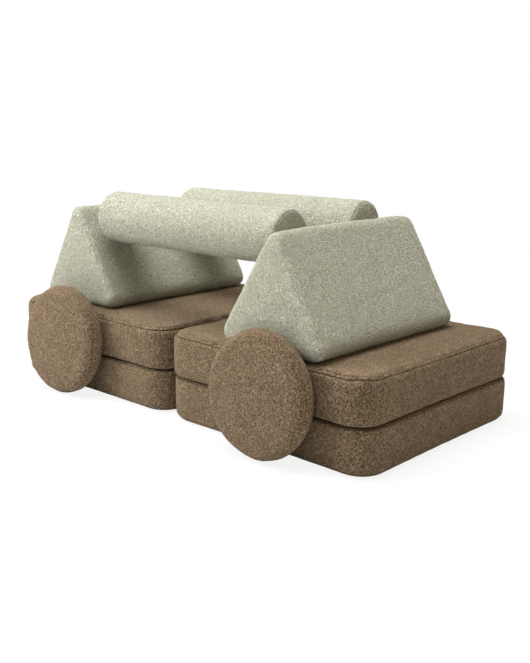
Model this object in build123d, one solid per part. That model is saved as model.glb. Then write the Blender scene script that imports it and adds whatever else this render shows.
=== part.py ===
from build123d import *
import os
from math import cos, degrees, pi, radians, sin, tan

# Modular foam play sofa: four square cushions in two stacks, two wedges, two rollers and two discs.
# Each module is a zipped fabric cover, lined with fibre, round a cut foam block.
# Millimetres, +Z up, the stacks side by side along X, the discs leaning on the front, which is -Y.

# Square base cushions, alike apart from how far the load has pressed the lower two
cushion_width = 750
cushion_depth = 728
cushion_thickness = 139
cushion_pressed = 131
cushion_corner = 84
cushion_draw_in = 4
cushion_crown = 4
cushion_crown_band = 70

# Triangular wedges: the base and the height are those of the triangle before its corners are rounded
wedge_base = 402
wedge_height = 344
wedge_length = 618
wedge_bulge = 2
wedge_ridge_crown = 7
wedge_end_crown = 3
wedge_end_band = 60
wedge_tip_radius = 6

# Round rollers
roller_radius = 81
roller_length = 751
roller_edge = 14
roller_end_crown = 5

# Round discs
disc_radius = 174
disc_thickness = 79
disc_crown = 6
disc_crown_band = 62
disc_lining = 8
disc_rim_share = 0.2
disc_edge = 28

# What the covers share. An edge is soft where it is free, and tighter where two cushions press together.
soft_edge = 30
pressed_edge = 20
edge_chord = 12
least_edge_steps = 2
lining = 14
foam_clearance = 0.4

# Zip: a toothed chain between two tapes, in a slot through the cover's wall
slot_width = 12
slot_end = 9
zip_depth = 3.2
chain_width = 5.6
chain_thickness = 2.4
tooth_pitch = 18
tooth_height = 0.6
tape_thickness = 0.8
tape_width = 8
tape_end = 7
tape_clearance = 0.05
stop_length = 2
stop_width = 2
zip_margin = 24
wedge_zip_share = 0.16
roller_zip_turn = 128
disc_zip_length = 300

# Slider: two plates joined by a post that parts the teeth
slider_length = 14
slider_width = 9.8
slider_nose = 5
plate_thickness = 1.2
lip_width = 0.8
post_width = 2.2
post_length = 2.6
post_gap = 0.6
running_clearance = 0.3

# How the set stands
rest_gap = 0.3
floor_gap = 0.4
stack_gap = 9.5
left_stack_y = -3
left_stack_turn = 0.8
upper_slip_x = -2.5
upper_slip_y = -2
upper_turn = -0.5
right_wedge_x = 37
right_wedge_y = -46
right_wedge_turn = -0.3
left_wedge_y = 2
left_wedge_turn = 0
tunnel_width = 502
front_roller_share = -0.3
rear_roller_share = 0.24
front_roller_turn = 3.5
front_roller_tilt_angle = 0.6
rear_roller_turn = 3.2
rear_roller_tilt_angle = 0
right_disc_x = 58.5
left_disc_x = -45.5
right_disc_lean_angle = 4.6
left_disc_lean_angle = 5.6
right_disc_turn = 0.3
left_disc_turn = 2.4

overrun = 1
seat_rounds = 30
seat_accuracy = 0.001

os.makedirs("parts", exist_ok=True)


# Round edge: how far each ring of an edge lies in from the side, and how far it has risen towards the face
def edge_rings(radius):
    steps = max(least_edge_steps, round(radius / edge_chord))
    angles = [pi / 2 * step / steps for step in range(steps + 1)]
    return [(radius * (1 - cos(angle)), radius * sin(angle)) for angle in angles]


# Cushion plan: four round corners, with the front and both sides drawn in and the zipped back straight
def cushion_ring(inset, height, corner):
    half_x = cushion_width / 2 - inset
    half_y = cushion_depth / 2 - inset
    run_x = half_x - corner
    run_y = half_y - corner
    bend = corner * (1 - sin(pi / 4))
    waist_x = half_x - cushion_draw_in
    waist_y = half_y - cushion_draw_in
    edges = [
        ThreePointArc((-run_x, -half_y), (0, -waist_y), (run_x, -half_y)),
        ThreePointArc((run_x, -half_y), (half_x - bend, bend - half_y), (half_x, -run_y)),
        ThreePointArc((half_x, -run_y), (waist_x, 0), (half_x, run_y)),
        ThreePointArc((half_x, run_y), (half_x - bend, half_y - bend), (run_x, half_y)),
        Line((run_x, half_y), (-run_x, half_y)),
        ThreePointArc((-run_x, half_y), (bend - half_x, half_y - bend), (-half_x, run_y)),
        ThreePointArc((-half_x, run_y), (-waist_x, 0), (-half_x, -run_y)),
        ThreePointArc((-half_x, -run_y), (bend - half_x, bend - half_y), (-run_x, -half_y)),
    ]
    return Wire(edges).moved(Location((0, 0, height)))


# Cushion: flat where it lies, round edges, and a crowned top
def cushion_form(thickness, low_edge, high_edge):
    rim = thickness - cushion_crown - high_edge
    low = reversed(edge_rings(low_edge))
    high = edge_rings(high_edge)
    rings = [cushion_ring(inset, low_edge - rise, cushion_corner - inset) for inset, rise in low]
    rings += [cushion_ring(inset, rim + rise, cushion_corner - inset) for inset, rise in high]
    rings.append(cushion_ring(cushion_crown_band, thickness, cushion_corner - high_edge))
    return Solid.make_loft(rings, ruled=True)


# Foam blocks are cut straight, and lie inside the lining
def cushion_block(thickness, gap):
    inset = lining + gap
    top = thickness - cushion_crown - inset
    corner = cushion_corner - inset
    return Solid.make_loft([cushion_ring(inset, inset, corner), cushion_ring(inset, top, corner)], ruled=True)


# Wedge section: a flat base, two bulging slopes and three round corners
def wedge_outline(inset, radius, ridge_rise):
    half = wedge_base / 2
    height = wedge_height + ridge_rise
    slope = (half**2 + height**2) ** 0.5
    inscribed = half * height / (half + slope)
    shrink = (inscribed - inset) / inscribed
    corners = [Vector(-half * shrink, inset), Vector(half * shrink, inset), Vector(0, inset + height * shrink)]
    bends = []
    for number, corner in enumerate(corners):
        back = (corners[number - 1] - corner).normalized()
        ahead = (corners[(number + 1) % len(corners)] - corner).normalized()
        half_angle = radians(back.get_angle(ahead)) / 2
        run = radius / tan(half_angle)
        reach = radius / sin(half_angle) - radius
        bends.append((corner + back * run, corner + (back + ahead).normalized() * reach, corner + ahead * run))
    edges = []
    for number, bend in enumerate(bends):
        leave = bend[-1]
        arrive = bends[(number + 1) % len(bends)][0]
        outward = (arrive - leave).normalized().rotate(Axis.Z, -90)
        middle = (leave + arrive) / 2 + outward * wedge_bulge
        edges.append(ThreePointArc(*bend))
        edges.append(ThreePointArc(leave, middle, arrive) if number else Line(leave, arrive))
    return edges


def wedge_ring(inset, place, radius, ridge_rise=0):
    upright = Location((0, place, 0), (90, 0, 0))
    return Wire(wedge_outline(inset, radius, ridge_rise)).moved(upright)


# Wedge: soft ends with a small crown, and a ridge that is highest at its middle
def wedge_form():
    end = wedge_length / 2 - wedge_end_crown
    edge = [
        (inset, end - soft_edge + rise, max(soft_edge - inset, wedge_tip_radius))
        for inset, rise in edge_rings(soft_edge)
    ]
    edge.append((wedge_end_band, wedge_length / 2, wedge_tip_radius))
    rings = [wedge_ring(inset, -place, radius) for inset, place, radius in reversed(edge)]
    rings.append(wedge_ring(0, 0, soft_edge, wedge_ridge_crown))
    rings += [wedge_ring(inset, place, radius) for inset, place, radius in edge]
    return Solid.make_loft(rings, ruled=True)


def wedge_block(gap):
    inset = lining + gap
    end = wedge_length / 2 - wedge_end_crown - inset
    rings = [wedge_ring(inset, place, soft_edge - inset) for place in (-end, end)]
    return Solid.make_loft(rings, ruled=True)


# A round module turned about Z from the upper half of its profile, given as radius and height
def turned(upper):
    lower = [(radius, -height) for radius, height in reversed(upper)]
    face = make_face(Polyline(*[(radius, 0, height) for radius, height in lower + upper], close=True))
    return Solid.revolve(face.face(), 360, Axis.Z)


def roller_form():
    rim = roller_length / 2 - roller_end_crown
    upper = [(roller_radius - inset, rim - roller_edge + rise) for inset, rise in edge_rings(roller_edge)]
    return turned(upper + [(0, roller_length / 2)])


def roller_block(gap):
    inset = lining + gap
    end = roller_length / 2 - roller_end_crown - inset
    return turned([(roller_radius - inset, end), (0, end)])


def disc_form():
    rim = disc_thickness / 2 - disc_crown
    upper = [(disc_radius - inset, rim - disc_edge + rise) for inset, rise in edge_rings(disc_edge)]
    face = [(disc_radius - disc_crown_band, disc_thickness / 2), (0, disc_thickness / 2)]
    return turned(upper + face)


# The disc's block has a chamfered rim, because the disc is thin for its soft edge
def disc_block(gap):
    inset = disc_lining + gap
    face = disc_thickness / 2 - disc_crown - inset
    rim = (disc_radius - inset, face * disc_rim_share)
    return turned([rim, (disc_radius - disc_edge - gap, face), (0, face)])


# A spot on a zip: so far along it, across it and above the cover's surface. On a round rim the zip bends
# about a centre that lies the rim's radius below the surface.
def spot(bend, along, across, level):
    if not bend:
        return Vector(along, across, level)
    angle = along / bend
    return Vector((bend + level) * sin(angle), across, (bend + level) * cos(angle) - bend)


def run(bend, start, stop, across, level):
    ends = [spot(bend, place, across, level) for place in (start, stop)]
    if not bend:
        return Line(*ends)
    return ThreePointArc(ends[0], spot(bend, (start + stop) / 2, across, level), ends[1])


def strip(bend, start, stop, low, high, near, far):
    edges = [
        run(bend, start, stop, near, low),
        Line(spot(bend, stop, near, low), spot(bend, stop, near, high)),
        run(bend, stop, start, near, high),
        Line(spot(bend, start, near, high), spot(bend, start, near, low)),
    ]
    return Solid.extrude(Face(Wire(edges)), Vector(0, far - near, 0))


# The slot in the cover's wall, with a groove down each side that the tape is sewn into
def zip_slot(bend, half, wall):
    end = half + slot_end
    edge = slot_width / 2
    tape_end_place = half + tape_end + tape_clearance
    tape_low = tape_clearance - zip_depth - tape_thickness / 2 - 2 * tape_clearance
    tape_high = tape_clearance - zip_depth + tape_thickness / 2
    reach = chain_width / 2 + tape_width + tape_clearance
    slot = strip(bend, -end, end, -wall - overrun, overrun, -edge, edge)
    groove = strip(bend, -tape_end_place, tape_end_place, tape_low, tape_high, -reach, reach)
    return slot + groove


def zip_tape(bend, half):
    end = half + tape_end
    low = -zip_depth - tape_thickness / 2
    inner = chain_width / 2
    starts = (-inner - tape_width, inner)
    return [strip(bend, -end, end, low, low + tape_thickness, near, near + tape_width) for near in starts]


# The closed chain is one toothed bar, with a stop at its foot and a pair of stops past the slider
def zip_teeth(bend, half):
    low = -zip_depth - chain_thickness / 2
    high = low + chain_thickness
    side = chain_width / 2
    pairs = round(2 * half / tooth_pitch)
    ridge = [
        spot(bend, half - half * step / pairs, -side, high if step % 2 else high - tooth_height)
        for step in range(2 * pairs + 1)
    ]
    outline = [Line(first, second) for first, second in zip(ridge, ridge[1:])]
    outline += [
        Line(ridge[-1], spot(bend, -half, -side, low)),
        run(bend, -half, half, -side, low),
        Line(spot(bend, half, -side, low), ridge[0]),
    ]
    chain = Solid.extrude(Face(Wire(outline)), Vector(0, chain_width, 0))
    foot_stop = strip(bend, -half - stop_length, -half, low, high, -side, side)
    head = half + slider_nose + running_clearance
    head_stops = [
        strip(bend, head, head + stop_length, low, high, near, near + stop_width)
        for near in (-side, side - stop_width)
    ]
    return [chain, foot_stop] + head_stops


# The slider's plates run above and below the chain, their lips close to the tape, and the post parts the teeth
def zip_slider(bend, half):
    stop = half + slider_nose
    start = stop - slider_length
    edge = slider_width / 2
    plate = chain_thickness / 2 + running_clearance
    lip = tape_thickness / 2 + running_clearance
    body = strip(bend, half + post_gap, half + post_gap + post_length, -zip_depth - plate, plate - zip_depth,
                 -post_width / 2, post_width / 2)
    for near, far in ((plate, plate + plate_thickness), (-plate - plate_thickness, -plate)):
        body += strip(bend, start, stop, near - zip_depth, far - zip_depth, -edge, edge)
    for near, far in ((lip, plate), (-plate, -lip)):
        for side in (-edge, edge - lip_width):
            body += strip(bend, start, stop, near - zip_depth, far - zip_depth, side, side + lip_width)
    return [body.solid()]


def slider_travel(half):
    return 2 * half - (slider_length - slider_nose) - running_clearance


# One module: its cover with the block's space and the zip's slot cut out, the foam and the zip
def module(form, space, foam, zip_place, half, wall, bend=0):
    slot = zip_slot(bend, half, wall).moved(zip_place)
    pieces = {"cover": [form - space - slot], "foam": [foam]}
    for name, made in (("zip_tape", zip_tape), ("zip_teeth", zip_teeth), ("zip_slider", zip_slider)):
        pieces[name] = [piece.moved(zip_place) for piece in made(bend, half)]
    return {"form": form, "pieces": pieces, "zip": zip_place, "half": half, "bend": bend}


def cushion_module(thickness, low_edge, high_edge):
    middle = (thickness - cushion_crown) / 2
    zip_place = Plane((0, cushion_depth / 2, middle), x_dir=(-1, 0, 0), z_dir=(0, 1, 0)).location
    half = cushion_width / 2 - cushion_corner - zip_margin
    return module(
        cushion_form(thickness, low_edge, high_edge),
        cushion_block(thickness, 0), cushion_block(thickness, foam_clearance), zip_place, half, lining,
    )


# The wedge's zip runs along the foot of the slope that faces -X
def wedge_module():
    slope = wedge_outline(0, soft_edge, 0)[-1]
    place = slope.position_at(1 - wedge_zip_share)
    outward = slope.tangent_at(1 - wedge_zip_share).rotate(Axis.Z, -90)
    zip_place = Plane((place.X, 0, place.Y), x_dir=(0, 1, 0), z_dir=(outward.X, 0, outward.Y)).location
    half = wedge_length / 2 - soft_edge - zip_margin
    return module(wedge_form(), wedge_block(0), wedge_block(foam_clearance), zip_place, half, lining)


# The roller lies along X, its zip at the back and low down
def roller_module():
    lying = Location((0, 0, 0), (0, 90, 0))
    turn = radians(roller_zip_turn)
    outward = Vector(0, sin(turn), cos(turn))
    zip_place = Plane(outward * roller_radius, x_dir=(1, 0, 0), z_dir=outward).location
    half = roller_length / 2 - roller_end_crown - roller_edge - zip_margin
    return module(
        roller_form().moved(lying), roller_block(0).moved(lying), roller_block(foam_clearance).moved(lying),
        zip_place, half, lining,
    )


# The disc faces -Y, its zip round the rim on the -X side
def disc_module():
    facing = Location((0, 0, 0), (90, 0, 0))
    zip_place = Plane((-disc_radius, 0, 0), x_dir=(0, 0, 1), z_dir=(-1, 0, 0)).location
    return module(
        disc_form().moved(facing), disc_block(0).moved(facing), disc_block(foam_clearance).moved(facing),
        zip_place, disc_zip_length / 2, disc_lining, disc_radius,
    )


def stood(kind, place):
    return {"kind": kind, "place": place, "form": kind["form"].moved(place)}


def nearest(form, carriers):
    return min(form.distance_to(carrier) for carrier in carriers)


# A roller sinks between two slopes until each of its ends lies a rest gap off its own slope
def lay_across(kind, left, right, depth, tilt, turn):
    x = (left["place"].position.X + right["place"].position.X) / 2
    z = right["place"].position.Z + wedge_height + roller_radius
    for _ in range(seat_rounds):
        laid = stood(kind, Location((x, depth, z), (0, tilt, turn)))
        to_left = laid["form"].distance_to(left["form"]) - rest_gap
        to_right = laid["form"].distance_to(right["form"]) - rest_gap
        if max(abs(to_left), abs(to_right)) < seat_accuracy:
            break
        x += (to_right - to_left) / 2
        z -= (to_left + to_right) / 2
    return laid


# A disc stands on the floor, leans back and slides in until it lies a rest gap off what is behind it
def lean_on(kind, x, front, lean, turn, carriers):
    posture = Location((0, 0, 0), (0, 0, turn)) * Location((0, 0, 0), (-lean, 0, 0))
    z = floor_gap - kind["form"].moved(posture).bounding_box().min.Z
    y = front - disc_thickness
    for _ in range(seat_rounds):
        leaning = stood(kind, Location((x, y, z)) * posture)
        gap = nearest(leaning["form"], carriers) - rest_gap
        if abs(gap) < seat_accuracy:
            break
        y += gap
    return leaning


lower_kind = cushion_module(cushion_pressed, soft_edge, pressed_edge)
upper_kind = cushion_module(cushion_thickness, pressed_edge, soft_edge)
wedge_kind = wedge_module()
roller_kind = roller_module()
disc_kind = disc_module()

spacing = cushion_width + stack_gap
upper_z = cushion_pressed + rest_gap
wedge_z = upper_z + cushion_thickness + rest_gap
right_x = spacing / 2
left_x = -spacing / 2
left_wedge_x = right_x + right_wedge_x - tunnel_width - wedge_base

layout = {
    "right_lower": stood(lower_kind, Location((right_x, 0, 0))),
    "right_upper": stood(upper_kind, Location((right_x + upper_slip_x, upper_slip_y, upper_z), (0, 0, upper_turn))),
    "left_lower": stood(lower_kind, Location((left_x, left_stack_y, 0), (0, 0, left_stack_turn))),
    "left_upper": stood(upper_kind, Location((left_x, left_stack_y, upper_z), (0, 0, left_stack_turn))),
    "right_wedge": stood(
        wedge_kind, Location((right_x + right_wedge_x, right_wedge_y, wedge_z), (0, 0, right_wedge_turn))
    ),
    "left_wedge": stood(wedge_kind, Location((left_wedge_x, left_wedge_y, wedge_z), (0, 0, left_wedge_turn))),
}
for name, share, tilt, turn in (
    ("front_roller", front_roller_share, front_roller_tilt_angle, front_roller_turn),
    ("rear_roller", rear_roller_share, rear_roller_tilt_angle, rear_roller_turn),
):
    depth = share * wedge_length
    layout[name] = lay_across(roller_kind, layout["left_wedge"], layout["right_wedge"], depth, tilt, turn)
for side, x, lean, turn in (
    ("right", right_x + right_disc_x, right_disc_lean_angle, right_disc_turn),
    ("left", left_x + left_disc_x, left_disc_lean_angle, left_disc_turn),
):
    carriers = [layout[side + level]["form"] for level in ("_lower", "_upper", "_wedge")]
    layout[side + "_disc"] = lean_on(disc_kind, x, -cushion_depth / 2, lean, turn, carriers)

# The origin is the middle of the whole set's box, at the floor
box = Compound(children=[one["form"] for one in layout.values()]).bounding_box()
home = Location((-(box.min.X + box.max.X) / 2, -(box.min.Y + box.max.Y) / 2, 0))

for name, one in layout.items():
    place = home * one["place"]
    for piece, solids in one["kind"]["pieces"].items():
        node = Compound(children=[solid.moved(place) for solid in solids])
        export_step(node, f"parts/{name}_{piece}.step")
    kind = one["kind"]
    zip_frame = Plane(place * kind["zip"])
    travel = slider_travel(kind["half"])
    print(name, "stands at", place.position, "turned", place.orientation)
    if kind["bend"]:
        pivot = zip_frame.origin - zip_frame.z_dir * kind["bend"]
        print("  slider turns about", pivot, "axis", -zip_frame.y_dir, "by", degrees(travel / kind["bend"]))
    else:
        print("  slider runs along", -zip_frame.x_dir, "for", travel)
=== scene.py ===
import bpy
import bmesh
import math
import numpy as np
from mathutils import Matrix, Vector


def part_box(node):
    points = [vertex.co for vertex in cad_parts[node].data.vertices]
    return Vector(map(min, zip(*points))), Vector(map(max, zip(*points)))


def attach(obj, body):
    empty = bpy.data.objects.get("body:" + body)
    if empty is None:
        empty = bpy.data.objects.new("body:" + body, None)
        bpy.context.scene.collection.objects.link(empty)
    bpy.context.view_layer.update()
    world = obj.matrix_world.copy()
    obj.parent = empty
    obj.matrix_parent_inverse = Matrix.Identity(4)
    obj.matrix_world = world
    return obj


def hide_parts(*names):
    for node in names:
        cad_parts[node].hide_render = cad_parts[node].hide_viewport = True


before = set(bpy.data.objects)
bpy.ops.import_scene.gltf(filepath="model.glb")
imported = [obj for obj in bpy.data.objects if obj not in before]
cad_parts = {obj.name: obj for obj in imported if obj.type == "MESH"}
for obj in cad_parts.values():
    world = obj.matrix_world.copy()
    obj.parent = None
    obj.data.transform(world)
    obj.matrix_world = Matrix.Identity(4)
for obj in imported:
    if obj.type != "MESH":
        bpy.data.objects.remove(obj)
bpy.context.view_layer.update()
scene = bpy.context.scene

# the play sofa: four brown cushions, two sage wedges, two sage rollers, two brown discs
# turn, tilt and lean are in degrees, and creased says how strongly the cloth puckers at the seams
modules = {
    "right_lower": {"kind": "lower", "cloth": "brown", "turn": 0, "seed": 1},
    "right_upper": {"kind": "upper", "cloth": "brown", "turn": -0.5, "seed": 2, "creased": 2.0},
    "left_lower": {"kind": "lower", "cloth": "brown", "turn": 0.8, "seed": 3},
    "left_upper": {"kind": "upper", "cloth": "brown", "turn": 0.8, "seed": 4, "creased": 2.2},
    "right_wedge": {"kind": "wedge", "cloth": "sage", "turn": -0.3, "seed": 5, "leanBack": 0.014},
    "left_wedge": {"kind": "wedge", "cloth": "sage", "turn": 0, "seed": 6},
    "front_roller": {"kind": "roller", "cloth": "sage", "turn": 3.5, "tilt": 0.6, "seed": 7, "length": 0.99},
    "rear_roller": {"kind": "roller", "cloth": "sage", "turn": 3.2, "seed": 8},
    "right_disc": {"kind": "disc", "cloth": "brown", "turn": 0.3, "lean": 4.6, "seed": 9},
    "left_disc": {"kind": "disc", "cloth": "brown", "turn": 2.4, "lean": 5.6, "seed": 10},
}

# every cover is a rounded section (a core polygon grown by a radius) drawn out along its own axis,
# with its two edges rounded and its two caps crowned: the low one (or -Y, -X) comes first
# band: how far in from the edge a cap goes on rising; puff: the most that the cloth may swell
# shrink: how much smaller the shell starts
# spare: how far inside its solid the cover keeps, or below zero how far it may stand out of it
kinds = {
    "lower": {
        "long": 0.131, "edges": (0.026, 0.009), "crowns": (0, 0), "band": 0.10,
        "voxel": 0.008, "puff": 0.004, "shrink": 0.0005, "spare": 0.0004, "zipHalf": 0.267,
    },
    "upper": {
        "long": 0.139, "edges": (0.014, 0.027), "crowns": (0, 0.005), "band": 0.10,
        "voxel": 0.008, "puff": 0.006, "shrink": 0.0005, "spare": 0.0004, "zipHalf": 0.267,
    },
    "wedge": {
        "long": 0.618, "edges": (0.018, 0.026), "crowns": (0.003, 0.003), "band": 0.08,
        "voxel": 0.0075, "puff": 0.005, "shrink": -0.0015, "spare": -0.0035, "zipHalf": 0.255,
    },
    "roller": {
        "long": 0.751, "edges": (0.014, 0.014), "crowns": (0.005, 0.005), "band": 0.05,
        "voxel": 0.007, "puff": 0.003, "shrink": 0.0005, "spare": 0.0004, "zipHalf": 0.3325,
    },
    "disc": {
        "long": 0.079, "edges": (0.031, 0.031), "crowns": (0.007, 0.007), "band": 0.10,
        "voxel": 0.0065, "puff": 0.004, "shrink": 0.0005, "spare": 0.0004, "zipHalf": 0.150,
    },
}
cushion = {"width": 0.750, "depth": 0.728, "corner": 0.084, "drawIn": 0.004, "zipLevel": -0.002}
wedge = {"base": 0.402, "height": 0.344, "round": 0.030, "ridge": 0.005, "zipShare": 0.16}
roller = {"radius": 0.081, "zipTurn": 128}
disc = {"radius": 0.174}


def insetCorners(corners, inset):  # the corners of a convex polygon after every side has moved in
    found = []
    for number, corner in enumerate(corners):
        back = (corner - corners[number - 1]) / np.linalg.norm(corner - corners[number - 1])
        ahead = corners[(number + 1) % len(corners)] - corner
        ahead = ahead / np.linalg.norm(ahead)
        normals = np.array([[-back[1], back[0]], [-ahead[1], ahead[0]]])
        found.append(np.linalg.solve(normals, normals @ corner + inset))
    return np.array(found)


halfCushion = [cushion["width"] / 2, cushion["depth"] / 2]
cushionCorners = np.array([[-1, -1], [1, -1], [1, 1], [-1, 1]]) * halfCushion
wedgeCorners = np.array([[-wedge["base"] / 2, 0], [wedge["base"] / 2, 0], [0, wedge["height"]]])
for kind in ("lower", "upper"):
    kinds[kind].update(core=insetCorners(cushionCorners, cushion["corner"]), round=cushion["corner"])
kinds["wedge"].update(core=insetCorners(wedgeCorners, wedge["round"]), round=wedge["round"])
kinds["roller"].update(core=np.zeros((1, 2)), round=roller["radius"])
kinds["disc"].update(core=np.zeros((1, 2)), round=disc["radius"])

# section x, section y, along the axis -> the module's own x, y, z
layFlat = Matrix.Identity(3)
layBack = Matrix(((1, 0, 0), (0, 0, 1), (0, 1, 0)))
layAcross = Matrix(((0, 0, 1), (1, 0, 0), (0, 1, 0)))
kindAxes = {"lower": layFlat, "upper": layFlat, "wedge": layBack, "roller": layAcross, "disc": layBack}
for kind, axes in kindAxes.items():
    kinds[kind]["axes"] = axes

tiny = 1e-6  # keeps a division from zero


def sectionDistance(core, radius, points):  # below zero inside the rounded section
    if len(core) == 1:
        return np.linalg.norm(points - core[0], axis=1) - radius
    nearest = np.full(len(points), np.inf)
    inside = np.full(len(points), -np.inf)
    for start, end in zip(core, np.roll(core, -1, axis=0)):
        along = end - start
        offset = points - start
        share = np.clip(offset @ along / (along @ along), 0, 1)
        nearest = np.minimum(nearest, np.linalg.norm(offset - share[:, None] * along, axis=1))
        outward = np.array([along[1], -along[0]]) / np.linalg.norm(along)
        inside = np.maximum(inside, offset @ outward)
    return np.where(inside > 0, nearest, -nearest) - radius


shellMesh = {"step": 0.012, "edgeSteps": 6}


def around(middle, radius, angles):
    return [middle + radius * np.array([math.cos(angle), math.sin(angle)]) for angle in angles]


def sectionOutline(core, radius, fullRadius):  # as many points at every radius, so that rings join
    step = shellMesh["step"]
    if len(core) == 1:
        count = int(2 * math.pi * fullRadius / step)
        return around(core[0], radius, np.linspace(0, 2 * math.pi, count, endpoint=False))
    outline = []
    for number, corner in enumerate(core):
        back = corner - core[number - 1]
        ahead = core[(number + 1) % len(core)] - corner
        first = math.atan2(-back[0], back[1])
        second = math.atan2(-ahead[0], ahead[1])
        sweep = (second - first) % (2 * math.pi)
        steps = int(sweep * fullRadius / step)
        outline += around(corner, radius, first + sweep * np.linspace(0, 1, steps + 1))
        outward = radius * np.array([math.cos(second), math.sin(second)])
        runs = int(np.linalg.norm(ahead) / step)
        outline += [corner + outward + ahead * run / runs for run in range(1, runs)]
    return outline


def addTube(bm, rows):  # faces from ring to ring, and one on each end
    for low, high in zip(rows, rows[1:]):
        for number in range(len(low)):
            bm.faces.new((low[number - 1], low[number], high[number], high[number - 1]))
    bm.faces.new(rows[0][::-1])
    bm.faces.new(rows[-1])


def addPiece(name, bm):
    mesh = bpy.data.meshes.new(name)
    bm.to_mesh(mesh)
    bm.free()
    piece = bpy.data.objects.new(name, mesh)
    scene.collection.objects.link(piece)
    return piece


def roundedShell(name, spec):
    bm = bmesh.new()
    rows = []
    edgeSteps = shellMesh["edgeSteps"]
    for side, edge, crown in zip((-1, 1), spec["edges"], spec["crowns"]):
        rim = spec["long"] / 2 - crown - spec["shrink"]
        for step in range(edgeSteps + 1)[::side]:
            angle = math.pi / 2 * step / edgeSteps
            radius = spec["round"] - edge * (1 - math.cos(angle)) - spec["shrink"]
            level = side * (rim - edge + edge * math.sin(angle))
            outline = sectionOutline(spec["core"], radius, spec["round"])
            rows.append([bm.verts.new((*spot, level)) for spot in outline])
    addTube(bm, rows)
    bmesh.ops.recalc_face_normals(bm, faces=bm.faces[:])
    return addPiece(name, bm)


def settle(piece):  # leaves the mesh as its modifiers make it
    made = bpy.data.meshes.new_from_object(piece.evaluated_get(bpy.context.evaluated_depsgraph_get()))
    piece.modifiers.clear()
    piece.data = made


def getVectors(mesh, key="co"):
    flat = np.empty(len(mesh.vertices) * 3)
    mesh.vertices.foreach_get(key, flat)
    return flat.reshape(-1, 3)


def setPoints(mesh, points):
    mesh.vertices.foreach_set("co", np.ascontiguousarray(points).ravel())
    mesh.update()


def smoothStep(low, high, values):
    share = np.clip((values - low) / (high - low), 0, 1)
    return share * share * (3 - 2 * share)


def waves(points, size, seed, count=10):  # soft unevenness from a few seeded waves, about -1 to 1
    dice = np.random.default_rng(seed)
    total = np.zeros(len(points))
    for _ in range(count):
        way = dice.normal(size=3)
        way /= np.linalg.norm(way)
        length = size * dice.uniform(0.7, 1.5)
        total += np.sin(points @ way * (2 * math.pi / length) + dice.uniform(0, 2 * math.pi))
    return total / math.sqrt(count)


def sideOf(values, points):  # the low side's value or the high side's
    return np.where(points[:, 2] < 0, *values)


# a crown rises from part of the way in over the edge, and takes hold towards the cap
crownRise = {"edgeShare": 0.5, "from": 0.4, "full": 0.95}


def swellOf(spec, points):  # how far the crowned cap has risen at a point
    edge = sideOf(spec["edges"], points)
    deep = -sectionDistance(spec["core"], spec["round"], points[:, :2])
    rise = smoothStep(edge * crownRise["edgeShare"], edge + spec["band"], deep)
    return sideOf(spec["crowns"], points) * rise


def crowned(spec, points):
    half = spec["long"] / 2 - sideOf(spec["crowns"], points)
    capShare = smoothStep(crownRise["from"], crownRise["full"], np.abs(points[:, 2]) / half)
    points[:, 2] += np.sign(points[:, 2]) * swellOf(spec, points) * capShare
    return points


def edgePlace(spec, points):  # out from the core of the rounded edge, and up along it
    edge = sideOf(spec["edges"], points)
    cap = spec["long"] / 2 - sideOf(spec["crowns"], points) + swellOf(spec, points)
    lateral = sectionDistance(spec["core"], spec["round"], points[:, :2]) + edge
    return edge, lateral, np.abs(points[:, 2]) - (cap - edge)


def held(spec, points):  # brings back what stands out of the room its solid has
    edge, lateral, axial = edgePlace(spec, points)
    outside = np.hypot(np.maximum(lateral, 0), np.maximum(axial, 0))
    inside = np.minimum(np.maximum(lateral, axial), 0)
    over = np.maximum(outside + inside - edge + spec["spare"], 0)
    sideShare = over * np.maximum(lateral, 0) / np.maximum(outside, tiny)
    capShare = over * np.maximum(axial, 0) / np.maximum(outside, tiny)
    outward = points[:, :2] - spec["core"].mean(axis=0)
    outward /= np.maximum(np.linalg.norm(outward, axis=1), tiny)[:, None]
    points[:, :2] -= outward * sideShare[:, None]
    points[:, 2] -= np.sign(points[:, 2]) * capShare
    return points


# the five shapes are blown up together, then each is copied for its modules
shells = {}
for kind, spec in kinds.items():
    shell = roundedShell(kind + "_shell", spec)
    remesh = shell.modifiers.new("remesh", "REMESH")
    remesh.mode = "VOXEL"
    remesh.voxel_size = spec["voxel"]
    smooth = shell.modifiers.new("smooth", "SMOOTH")
    smooth.iterations = 2
    settle(shell)
    setPoints(shell.data, crowned(spec, getVectors(shell.data)))
    shells[kind] = shell
print("shells", {kind: len(shell.data.vertices) for kind, shell in shells.items()})

# heldBack: how much of a point's way inward is taken off, for the foam is there
clothSettings = {
    "pressure": 1.5, "tension": 40, "shear": 15, "bending": 3, "mass": 0.3,
    "quality": 5, "frames": 20, "heldBack": 0.6,
}


def addCloth(shell):
    cloth = shell.modifiers.new("cloth", "CLOTH")
    cloth.settings.quality = clothSettings["quality"]
    cloth.settings.mass = clothSettings["mass"]
    cloth.settings.tension_stiffness = clothSettings["tension"]
    cloth.settings.compression_stiffness = clothSettings["tension"]
    cloth.settings.shear_stiffness = clothSettings["shear"]
    cloth.settings.bending_stiffness = clothSettings["bending"]
    cloth.settings.use_pressure = True
    cloth.settings.uniform_pressure_force = clothSettings["pressure"]
    cloth.settings.effector_weights.gravity = 0
    cloth.point_cache.frame_end = clothSettings["frames"]


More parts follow.
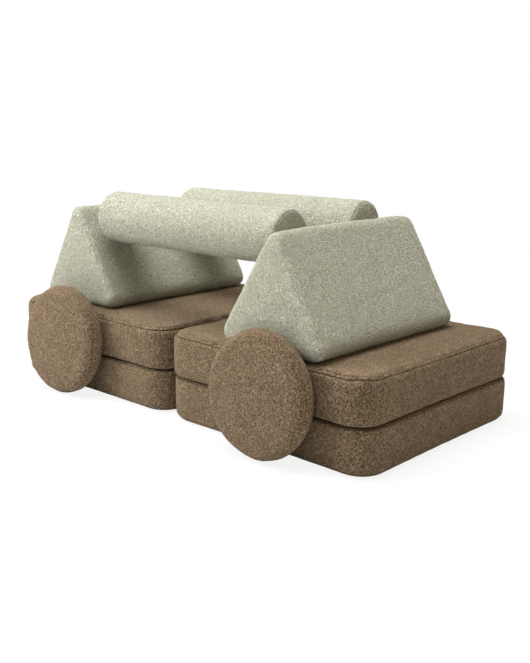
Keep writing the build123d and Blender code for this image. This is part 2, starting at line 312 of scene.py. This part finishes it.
def keepSwelling(kind, shell, start):  # the firm foam inside lets the cover swell only a little
    settle(shell)
    moved = getVectors(shell.data) - start
    farthest = np.linalg.norm(moved, axis=1).max()
    moved *= kinds[kind]["puff"] / max(farthest, tiny)
    outward = getVectors(shell.data, "normal")
    inward = np.minimum((moved * outward).sum(axis=1), 0)
    moved -= outward * (inward * clothSettings["heldBack"])[:, None]
    setPoints(shell.data, start + moved)
    print("cloth", kind, "moved up to", round(float(farthest) * 1000, 1), "mm before it was held back")


starts = {kind: getVectors(shell.data) for kind, shell in shells.items()}
for shell in shells.values():
    addCloth(shell)
for number in range(1, clothSettings["frames"] + 1):
    scene.frame_set(number)
for kind, shell in shells.items():
    keepSwelling(kind, shell, starts[kind])
scene.frame_set(1)
print("cloth done")

# the seams of the low side and the high side: where the line runs round the edge (0 at the side,
# 1 at the cap), how deep it is drawn in and how much it shows
# shows: how strongly the seam's and the crease's painted shade and the lip's painted highlight come out
seams = {
    "lower": {"at": (0.45, 0.95), "deep": (0.0010, 0.0006), "shows": (0.35, 0.6)},
    "upper": {"at": (0.85, 0.45), "deep": (0.0006, 0.0030), "shows": (0.8, 1.0)},
    "wedge": {"at": (0.5, 0.5), "deep": (0.0008, 0.0008), "shows": (0.12, 0.12)},
    "roller": {"at": (0.45, 0.45), "deep": (0.0014, 0.0014), "shows": (0.6, 0.6)},
    "disc": {"at": (0.3, 0.3), "deep": (0.0010, 0.0010), "shows": (0.25, 0.25)},
}

# the cloth's unevenness: how high and how wide its waves are, and how low down it lies still
uneven = {
    "broadHigh": 0.0009, "broadWide": 0.17, "smallHigh": 0.0005, "smallWide": 0.06, "stillBelow": 0.05,
}
# the puckers beside a seam: plain is how strong they are where a module doesn't say it
puckers = {
    "wide": 0.038, "upright": 0.15, "patchWide": 0.3, "least": 0.35,
    "share": 0.45, "reach": 0.020, "plain": 0.8,
}
grooveReach = 0.006
drawInFrom = 0.8  # of the way out to a cushion's side
ridgeMiddle = 0.9  # this share of a wedge's ridge is a rise in its middle, the rest a fall at its ends
wedgeFoot = 0.0004  # how far the flat foot of a wedge keeps above its solid's


def seamAway(kind, spec, points):  # how far a point is from its side's seam, measured over the edge
    edge, lateral, axial = edgePlace(spec, points)
    onEdge = edge * np.arctan2(np.maximum(axial, 0), np.maximum(lateral, tiny))
    onCap = edge * math.pi / 2 - lateral
    place = np.where(axial < 0, axial, np.where(lateral < 0, onCap, onEdge))
    return place - sideOf(seams[kind]["at"], points) * edge * math.pi / 2


def surfacePush(kind, spec, points, seed, creased):  # how far the cloth stands out at a point
    away = seamAway(kind, spec, points)
    fold = waves(points * [1, 1, puckers["upright"]], puckers["wide"], seed * 7, 6)
    patches = smoothStep(-0.5, 1, waves(points, puckers["patchWide"], seed + 90))
    fold *= puckers["least"] + (1 - puckers["least"]) * patches
    push = uneven["broadHigh"] * waves(points, uneven["broadWide"], seed)
    push += uneven["smallHigh"] * waves(points, uneven["smallWide"], seed + 50)
    if kind in ("lower", "upper"):  # what rests on something lies still
        push *= smoothStep(0, uneven["stillBelow"], points[:, 2] + spec["long"] / 2)
    pucker = puckers["share"] * creased * fold * np.exp(-(away / puckers["reach"]) ** 2)
    groove = np.exp(-(away / grooveReach) ** 2)
    return push + sideOf(seams[kind]["deep"], points) * (pucker - groove)


def drawnIn(points):  # a cushion's front and sides pull in between the corners, its zipped back doesn't
    sizes = cushion["width"], cushion["depth"]
    for axis, other in ((0, 1), (1, 0)):
        pull = cushion["drawIn"] * (1 - np.minimum(np.abs(points[:, other]) / (sizes[other] / 2), 1) ** 2)
        near = smoothStep(drawInFrom, 1.0, np.abs(points[:, axis]) / (sizes[axis] / 2))
        if axis == 1:
            near = np.where(points[:, 1] > 0, 0, near)
        points[:, axis] -= np.sign(points[:, axis]) * pull * near
    return points


def ridged(spec, points, leanBack):  # a wedge's ridge is highest in its middle, and its front may lean back
    high = np.clip(points[:, 1] / wedge["height"], 0, 1)
    along = points[:, 2] / (spec["long"] / 2)
    points[:, 1] += wedge["ridge"] * high * (ridgeMiddle - np.minimum(np.abs(along), 1))
    points[:, 2] += leanBack * high * smoothStep(0, 1, -along)
    return points


def dressed(kind, spec, mesh, module):
    points = getVectors(mesh)
    push = surfacePush(kind, spec, points, module["seed"], module.get("creased", puckers["plain"]))
    points += getVectors(mesh, "normal") * push[:, None]
    if kind in ("lower", "upper"):
        points = drawnIn(points)
    if kind == "wedge":
        points = ridged(spec, points, module.get("leanBack", 0))
    points = held(spec, points)
    if kind == "wedge":
        points[:, 1] = np.maximum(points[:, 1], wedgeFoot)
    points[:, 2] *= module.get("length", 1)
    return points


# the finish paints the seam's shade and the lip's highlight from these two marks
def seamMarked(kind, spec, mesh):  # the cloth's finish draws the seam from this
    points = getVectors(mesh) @ np.array(spec["axes"])
    marks = {"seamAway": seamAway(kind, spec, points), "seamShows": sideOf(seams[kind]["shows"], points)}
    for name, values in marks.items():
        mesh.attributes.new(name, "FLOAT", "POINT").data.foreach_set("value", values)


def placeFrom(along, across, out, spot):  # x, y and z turn to these ways, and the origin goes to the spot
    return Matrix((*[(*row, 0) for row in (along, across, out)], (*spot, 1))).transposed()


def zipPlace(kind):  # where a zip lies on its module: along it, across it and out of the cloth
    if kind in ("lower", "upper"):
        return placeFrom((-1, 0, 0), (0, 0, 1), (0, 1, 0), (0, cushion["depth"] / 2, cushion["zipLevel"]))
    if kind == "wedge":
        core = kinds["wedge"]["core"]
        slope = core[0] - core[2]
        down = slope / np.linalg.norm(slope)
        out = np.array([down[1], -down[0]])
        spot = core[2] + slope * (1 - wedge["zipShare"]) + out * wedge["round"]
        return placeFrom((0, 1, 0), (-down[0], 0, -down[1]), (out[0], 0, out[1]), (spot[0], 0, spot[1]))
    if kind == "roller":
        turn = math.radians(roller["zipTurn"])
        along = Vector((1, 0, 0))
        out = Vector((0, math.sin(turn), math.cos(turn)))
        return placeFrom(along, out.cross(along), out, out * roller["radius"])
    return placeFrom((0, 0, 1), (0, -1, 0), (-1, 0, 0), (-disc["radius"], 0, 0))


# the slot that is cut for the zip: it reaches above the cloth by proud and past the chain by pastEnd
slot = {"halfWidth": 0.0058, "deep": 0.0085, "proud": 0.02, "pastEnd": 0.009, "bendSteps": 40}


def slotCutter(name, kind):
    bend = disc["radius"] if kind == "disc" else 0  # a disc's slot runs round its rim
    reach = kinds[kind]["zipHalf"] + slot["pastEnd"]
    steps = slot["bendSteps"] if bend else 1
    corners = ((-1, -slot["deep"]), (1, -slot["deep"]), (1, slot["proud"]), (-1, slot["proud"]))
    bm = bmesh.new()
    rows = []
    for step in range(steps + 1):
        along = -reach + 2 * reach * step / steps
        row = []
        for across, level in corners:
            spot = (along, level)
            if bend:
                angle = along / bend
                spot = ((bend + level) * math.sin(angle), (bend + level) * math.cos(angle) - bend)
            row.append(bm.verts.new((spot[0], across * slot["halfWidth"], spot[1])))
        rows.append(row)
    addTube(bm, rows)
    bm.transform(zipPlace(kind))
    bmesh.ops.recalc_face_normals(bm, faces=bm.faces[:])
    return addPiece(name, bm)


def modulePlace(name, spec):  # turned about the middle of its solid's box, or of a wedge's foot
    low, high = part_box(name + "_cover")
    middle = (Vector(low) + Vector(high)) / 2
    if spec["kind"] == "wedge":
        middle.z = low[2]
    turn = Matrix.Rotation(math.radians(spec["turn"]), 4, "Z")
    tilt = Matrix.Rotation(math.radians(spec.get("tilt", 0)), 4, "Y")
    lean = Matrix.Rotation(math.radians(-spec.get("lean", 0)), 4, "X")
    return Matrix.Translation(middle) @ turn @ tilt @ lean


covers = {}
for name, spec in modules.items():
    kind = spec["kind"]
    shape = kinds[kind]
    cover = bpy.data.objects.new(name + "_soft_cover", shells[kind].data.copy())
    scene.collection.objects.link(cover)
    fine = cover.modifiers.new("fine", "SUBSURF")
    fine.levels = 1
    settle(cover)
    setPoints(cover.data, dressed(kind, shape, cover.data, spec))
    cover.data.transform(shape["axes"].to_4x4())
    if shape["axes"].determinant() < 0:  # a mirrored mesh is inside out
        cover.data.flip_normals()
    cutter = slotCutter(name + "_cutter", kind)
    cut = cover.modifiers.new("slot", "BOOLEAN")
    cut.operation = "DIFFERENCE"
    cut.solver = "EXACT"
    cut.object = cutter
    settle(cover)
    bpy.data.objects.remove(cutter)
    seamMarked(kind, shape, cover.data)
    cover.data.transform(modulePlace(name, spec))
    cover.data.shade_smooth()
    cover.data.set_sharp_from_angle(angle=math.radians(50))
    cover.data.name = cover.name
    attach(cover, name)
    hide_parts(name + "_cover", name + "_foam")
    covers[name] = cover
for shell in shells.values():
    bpy.data.objects.remove(shell)
print("covers", sum(len(cover.data.vertices) for cover in covers.values()), "points")


class Signal:  # a shader socket that can be used in sums
    def __init__(self, finish, socket):
        self.finish, self.socket = finish, socket

    def worked(self, operation, first, second):
        node = self.finish.node("ShaderNodeMath", {"operation": operation}, {0: first, 1: second})
        return self.finish.out(node)

    def __add__(self, other):
        return self.worked("ADD", self, other)

    def __radd__(self, other):
        return self.worked("ADD", other, self)

    def __sub__(self, other):
        return self.worked("SUBTRACT", self, other)

    def __rsub__(self, other):
        return self.worked("SUBTRACT", other, self)

    def __mul__(self, other):
        return self.worked("MULTIPLY", self, other)

    def __rmul__(self, other):
        return self.worked("MULTIPLY", other, self)

    def __abs__(self):
        return self.worked("ABSOLUTE", self, 0)


class Finish:
    def __init__(self, name, holder=None):
        self.holder = holder or bpy.data.materials.new(name)
        self.holder.use_nodes = True
        self.tree = self.holder.node_tree
        self.tree.nodes.clear()

    def node(self, kind, settings=None, inputs=None):
        made = self.tree.nodes.new(kind)
        for key, value in (settings or {}).items():
            setattr(made, key, value)
        for key, value in (inputs or {}).items():
            if isinstance(value, Signal):
                self.tree.links.new(value.socket, made.inputs[key])
            else:
                made.inputs[key].default_value = value
        return made

    def out(self, node, key=0):
        return Signal(self, node.outputs[key])

    def place(self):
        return self.out(self.node("ShaderNodeTexCoord"), "Object")

    def noise(self, place, scale, detail, key="Fac"):
        inputs = {"Vector": place, "Scale": scale, "Detail": detail}
        return self.out(self.node("ShaderNodeTexNoise", None, inputs), key)

    def attribute(self, name):
        return self.out(self.node("ShaderNodeAttribute", {"attribute_name": name}), "Fac")

    def vector(self, operation, first, second):
        return self.out(self.node("ShaderNodeVectorMath", {"operation": operation}, {0: first, 1: second}))

    def mix(self, factor, first, second):  # inputs 6 and 7 and output 2 are the node's colours
        inputs = {0: factor, 6: (*first, 1) if isinstance(first, tuple) else first, 7: (*second, 1)}
        return self.out(self.node("ShaderNodeMix", {"data_type": "RGBA"}, inputs), 2)

    def smooth(self, value, low, high):  # 0 below low, 1 above high
        inputs = {"Value": value, "From Min": low, "From Max": high}
        return self.out(self.node("ShaderNodeMapRange", {"interpolation_type": "SMOOTHSTEP"}, inputs))

    def near(self, value, close, far):  # 1 where the value is close to 0, 0 where it is far from it
        return 1 - self.smooth(abs(value), close, far)

    def bump(self, height, strength, distance):
        inputs = {"Height": height, "Strength": strength, "Distance": distance}
        return self.out(self.node("ShaderNodeBump", None, inputs))

    def seen(self):  # 1 where the camera looks at it, straight, in a gloss or through something
        rays = self.node("ShaderNodeLightPath")
        ways = ("Camera", "Glossy", "Transmission")
        straight, gloss, through = (self.out(rays, f"Is {way} Ray") for way in ways)
        return straight + gloss + through

    def surface(self, node, kind="ShaderNodeOutputMaterial"):
        self.node(kind, None, {"Surface": self.out(node)})
        return self.holder


# pit: painted shade in the pile's hollows; dark: how much that shade takes over
# yarn: the pile's own colour; tip: painted highlight where the pile stands high; light: how much it takes
# over
# loop: how wide a loop of the yarn is; depth: how high the pile is, in loops; gloss: the plain reflection
# seam: the colour of the painted shade in the seam's line and its crease
fabrics = {
    "brown": {
        "yarn": (0.068, 0.0425, 0.0215), "tipHighlight": (0.290, 0.211, 0.134), "pitShade": (0.015, 0.009, 0.004),
        "seam": (0.020, 0.012, 0.006), "light": 0.84, "dark": 0.84, "broad": 0.08,
        "loop": 0.0042, "depth": 0.80, "sheen": 0.20, "sheenTint": (1, 0.80, 0.56), "gloss": 0.06,
    },
    "sage": {
        "yarn": (0.296, 0.292, 0.212), "tipHighlight": (0.62, 0.622, 0.535), "pitShade": (0.110, 0.106, 0.068),
        "seam": (0.11, 0.108, 0.075), "light": 0.58, "dark": 0.64, "broad": 0.04,
        "loop": 0.0042, "depth": 1.20, "sheen": 0.06, "sheenTint": (1, 1, 0.92), "gloss": 0.15,
    },
}

# the pile's patterns: the scales are per loop, but the broad and the patchy one are per metre
pile = {
    "driftScale": 0.5, "pulled": 2.2, "roundness": 0.35,
    "curlScale": 0.62, "curl": (0.006, 0.072), "curlHigh": 0.40,
    "pitScale": 1.25, "pitShade": (0.54, 0.66), "pitDeep": 0.25,
    "fuzzScale": 3.4, "fuzzHigh": 0.25, "fuzzTips": 0.8,
    "moundHigh": 0.40, "moundMiddle": 0.45, "moundTips": 0.5, "tips": 0.12,
    "broadScale": 7.0, "patchScale": 70.0,
}
# the drawn seam in metres: its line, the turned edge (lip) that stands up beside it, the crease past that
# the line and the crease get painted shade, the lip painted highlight; all three are drawn into the bump too
seamLook = {
    "wander": 0.006, "steady": 0.72, "strong": (0.38, 0.62),
    "line": (0.0010, 0.0040), "lineDeep": 0.0026, "darkLeast": 0.6, "darkFuzz": 0.8,
    "lipAt": 0.0055, "lip": (0.0012, 0.0050), "lipHigh": 0.0014, "lipLight": 0.15,
    "creaseAt": 0.0115, "crease": (0.0006, 0.0028), "creaseDeep": 0.0012, "creaseDark": 0.45,
    "broken": (0.40, 0.55),
}


def boucle(name, look):
    finish = Finish(name)
    place = finish.place()
    loop = look["loop"]
    drift = finish.noise(place, pile["driftScale"] / loop, 2.0, "Color")
    pulled = finish.vector("SUBTRACT", drift, (0.5, 0.5, 0.5))
    pulled = finish.vector("MULTIPLY", pulled, (loop * pile["pulled"],) * 3)
    warped = finish.vector("ADD", place, pulled)
    inputs = {"Vector": warped, "Scale": 1 / loop, "Smoothness": pile["roundness"]}
    mound = 1 - finish.out(finish.node("ShaderNodeTexVoronoi", {"feature": "SMOOTH_F1"}, inputs), "Distance")
    strand = finish.noise(warped, pile["curlScale"] / loop, 1.0)
    curl = finish.near(strand - 0.5, *pile["curl"])  # a yarn that winds over the rest
    # the pits are the pile's hollows: painted shade in the colour below, and pressed down in the bump
    pitShade = finish.smooth(finish.noise(warped, pile["pitScale"] / loop, 1.0), *pile["pitShade"]) * (1 - curl)
    fuzz = finish.noise(warped, pile["fuzzScale"] / loop, 3.0)
    broad = finish.noise(place, pile["broadScale"], 3.0)
    patchy = finish.noise(place, pile["patchScale"], 2.0)

    away = finish.attribute("seamAway") + (patchy - 0.5) * seamLook["wander"]
    strong = seamLook["steady"] + finish.smooth(broad, *seamLook["strong"]) * (1 - seamLook["steady"])
    shows = finish.attribute("seamShows") * strong
    seam = finish.near(away, *seamLook["line"]) * shows
    lip = finish.near(away - seamLook["lipAt"], *seamLook["lip"]) * shows
    crease = finish.near(away - seamLook["creaseAt"], *seamLook["crease"]) * shows
    crease = crease * finish.smooth(broad, *seamLook["broken"])

    # painted highlight: the tip colour comes in where the mounds and the fuzz stand high
    tipShare = (mound - pile["moundMiddle"]) * pile["moundTips"] + (fuzz - 0.5) * pile["fuzzTips"]
    tipShare = tipShare + (broad - 0.5) * look["broad"] + pile["tips"]
    colour = finish.mix(tipShare, look["yarn"], look["tipHighlight"])
    # painted highlight on the winding curls and on the lip that stands up beside the seam
    colour = finish.mix(curl * look["light"] + lip * seamLook["lipLight"], colour, look["tipHighlight"])
    # painted shade: the pit colour fills the pile's hollows
    colour = finish.mix(pitShade * look["dark"], colour, look["pitShade"])
    seamShadeFuzz = seamLook["darkLeast"] + fuzz * seamLook["darkFuzz"]
    # painted shade in the seam's line and its crease, uneven with the fuzz
    colour = finish.mix((seam + crease * seamLook["creaseDark"]) * seamShadeFuzz, colour, look["seam"])

    height = mound * pile["moundHigh"] + curl * pile["curlHigh"]
    height = height + fuzz * pile["fuzzHigh"] - pitShade * pile["pitDeep"]
    height = height * (loop * look["depth"]) + lip * seamLook["lipHigh"]
    height = height - seam * seamLook["lineDeep"] - crease * seamLook["creaseDeep"]
    return finish.surface(finish.node("ShaderNodeBsdfPrincipled", None, {
        "Base Color": colour, "Roughness": 0.95, "Specular IOR Level": look["gloss"],
        "Normal": finish.bump(height, 0.9, 1.0),
        "Sheen Weight": look["sheen"], "Sheen Roughness": 0.5, "Sheen Tint": (*look["sheenTint"], 1),
    }))


boucles = {cloth: boucle(cloth + "Boucle", look) for cloth, look in fabrics.items()}
for name, cover in covers.items():
    cover.data.materials.clear()
    cover.data.materials.append(boucles[modules[name]["cloth"]])


def shadeOf(colour, share):
    return tuple(channel * share for channel in colour)


def wovenTape(name, colour):
    finish = Finish(name)
    settings = {"wave_type": "BANDS", "bands_direction": "DIAGONAL"}
    inputs = {"Vector": finish.place(), "Scale": 400.0, "Distortion": 1.5}
    # the ribs also make the colour darker where they are low: painted shade between the ribs
    ribs = finish.out(finish.node("ShaderNodeTexWave", settings, inputs), "Fac")
    return finish.surface(finish.node("ShaderNodeBsdfPrincipled", None, {
        "Base Color": finish.mix(ribs, shadeOf(colour, 0.6), colour),
        "Roughness": 0.85, "Normal": finish.bump(ribs, 0.4, 0.0004),
    }))


def mouldedPlastic(name, colour):
    finish = Finish(name)
    grain = finish.noise(finish.place(), 900.0, 2.0)
    return finish.surface(finish.node("ShaderNodeBsdfPrincipled", None, {
        "Base Color": finish.mix(grain, shadeOf(colour, 0.8), shadeOf(colour, 1.2)),
        "Roughness": 0.3 + grain * 0.2, "Normal": finish.bump(grain, 0.15, 0.0002),
    }))


zipColours = {
    "brown": {"tape": (0.10, 0.07, 0.05), "plastic": (0.09, 0.065, 0.05)},
    "sage": {"tape": (0.28, 0.28, 0.22), "plastic": (0.30, 0.30, 0.24)},
}
zipFinishes = {}
for cloth, look in zipColours.items():
    tape = wovenTape(cloth + "ZipTape", look["tape"])
    plastic = mouldedPlastic(cloth + "ZipPlastic", look["plastic"])
    zipFinishes[cloth] = {"zip_tape": tape, "zip_teeth": plastic, "zip_slider": plastic}
for name, spec in modules.items():
    for part, finish in zipFinishes[spec["cloth"]].items():
        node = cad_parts[f"{name}_{part}"]
        for number in range(len(node.data.materials)):
            node.data.materials[number] = finish
print("finishes done")

# seenWhite: how much of the floor is plain white to the camera, for only the rest takes the shadow
ground = {"size": 30, "drop": 0.0005, "white": 0.8, "seenWhite": 0.86, "fades": (1.6, 4.0)}


def paleGround(name):
    finish = Finish(name)
    place = finish.place()
    distance = finish.out(finish.node("ShaderNodeVectorMath", {"operation": "LENGTH"}, {0: place}), "Value")
    far = finish.smooth(distance, *ground["fades"])
    white = (ground["white"],) * 3
    shade = finish.mix(finish.noise(place, 3.0, 2.0), white, shadeOf(white, 0.98))
    matt = finish.node("ShaderNodeBsdfDiffuse", None, {"Color": shade, "Roughness": 0.5})
    glow = finish.node("ShaderNodeEmission", None, {"Color": (1, 1, 1, 1), "Strength": 1.0})
    share = finish.seen() * (ground["seenWhite"] + far * (1 - ground["seenWhite"]))
    shaders = {0: share, 1: finish.out(matt), 2: finish.out(glow)}
    return finish.surface(finish.node("ShaderNodeMixShader", None, shaders))


bm = bmesh.new()
bmesh.ops.create_grid(bm, x_segments=8, y_segments=8, size=ground["size"] / 2)
floor = addPiece("floor", bm)
floor.location.z = -ground["drop"]
floor.data.materials.append(paleGround("floorPale"))

studio = {"Color": (1.0, 0.91, 0.73, 1), "Strength": 0.385}
scene.world = bpy.data.worlds.new("studio")
sky = Finish("studio", scene.world)
dome = sky.node("ShaderNodeBackground", None, studio)
white = sky.node("ShaderNodeBackground", None, {"Color": (1, 1, 1, 1), "Strength": 1.0})
both = sky.node("ShaderNodeMixShader", None, {0: sky.seen(), 1: sky.out(dome), 2: sky.out(white)})
sky.surface(both, "ShaderNodeOutputWorld")

lampsAim = Vector((0, 0, 0.3))
lamps = {
    "keyLamp": {"at": (-2.4, -2.6, 2.3), "size": 2.0, "power": 198, "colour": (0.97, 0.975, 1.0)},
    "topLamp": {"at": (-0.2, -0.3, 4.6), "size": 3.4, "power": 338, "colour": (0.95, 0.965, 1.0)},
    "sideLamp": {"at": (3.6, -0.2, 2.6), "size": 2.4, "power": 13, "colour": (1, 0.80, 0.56)},
}
for name, spec in lamps.items():
    light = bpy.data.lights.new(name, "AREA")
    light.shape = "SQUARE"
    light.size, light.energy, light.color = spec["size"], spec["power"], spec["colour"]
    lamp = bpy.data.objects.new(name, light)
    lamp.location = spec["at"]
    lamp.rotation_euler = (lampsAim - lamp.location).to_track_quat("-Z", "Y").to_euler()
    scene.collection.objects.link(lamp)
print("floor, studio and", len(lamps), "lamps done")

# the photo's view, set out from the middle of the right stack: angles in radians, focal and tall in pixels
photoView = {
    "from": (1.5930, -2.0288, 0.8744), "yaw": -0.7523, "pitch": 0.2342, "roll": 0.0041,
    "focal": 903.98, "tall": 663, "sensor": 36,
}
low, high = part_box("right_lower_cover")
stackMiddle = Vector(((low[0] + high[0]) / 2, (low[1] + high[1]) / 2, 0))
yaw, pitch, roll = photoView["yaw"], photoView["pitch"], photoView["roll"]
ahead = Vector((math.sin(yaw) * math.cos(pitch), math.cos(yaw) * math.cos(pitch), -math.sin(pitch)))
level = Vector((math.cos(yaw), -math.sin(yaw), 0))
above = level.cross(ahead)
sideways = level * math.cos(roll) + above * math.sin(roll)
upward = above * math.cos(roll) - level * math.sin(roll)
lens = bpy.data.cameras.new("photoCamera")
lens.sensor_width = photoView["sensor"]
lens.lens = photoView["focal"] * photoView["sensor"] / photoView["tall"]
camera = bpy.data.objects.new("photoCamera", lens)
camera.matrix_world = placeFrom(sideways, upward, -ahead, stackMiddle + Vector(photoView["from"]))
scene.collection.objects.link(camera)
scene.camera = camera
scene.view_settings.view_transform = "Standard"
print("camera", [round(v, 3) for v in camera.location])
